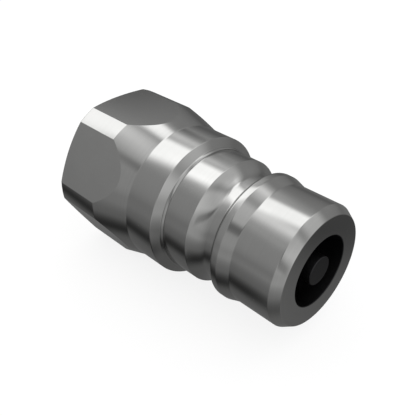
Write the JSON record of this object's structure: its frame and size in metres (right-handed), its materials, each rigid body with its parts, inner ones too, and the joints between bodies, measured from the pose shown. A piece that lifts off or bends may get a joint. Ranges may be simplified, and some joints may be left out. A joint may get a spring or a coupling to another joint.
{
  "type": "hydraulic quick coupler",
  "caption": "Male half of a hydraulic quick coupler: hexagon with threaded port, locking groove, sealing nose and spring-loaded poppet valve.",
  "frame": {"origin": "centre of the hexagon's end face, on the axis, where the hose's fitting enters", "axes": "+X along the axis, towards the nose; one flat of the hexagon faces +Z and one faces -Z"},
  "size_m": [0.0486, 0.0294, 0.027],
  "materials": {
    "plated_steel": "bright plated and finely turned",
    "guide_steel": "plated, satin",
    "valve_steel": "blackened, satin",
    "spring_steel": "drawn wire",
    "nitrile_rubber": "matt black",
    "stiff_ring": "waxy white"
  },
  "bodies": {
    "coupler_body": {"adapter": "plated_steel", "probe_body": "plated_steel", "valve_guide": "guide_steel", "body_o_ring": "nitrile_rubber", "body_backup_ring": "stiff_ring", "return_spring": "spring_steel"},
    "valve": {"poppet_head": "valve_steel", "poppet_stem": "valve_steel", "poppet_seal": "nitrile_rubber"}
  },
  "joints": [
    {"name": "valve_slide", "type": "slide", "parent": "coupler_body", "child": "valve", "axis": [1, 0, 0], "range_m": [-0.0055, 0], "stiffness_N_per_m": 3400, "springref_m": 0.0055, "deforming": ["return_spring"]}
  ]
}
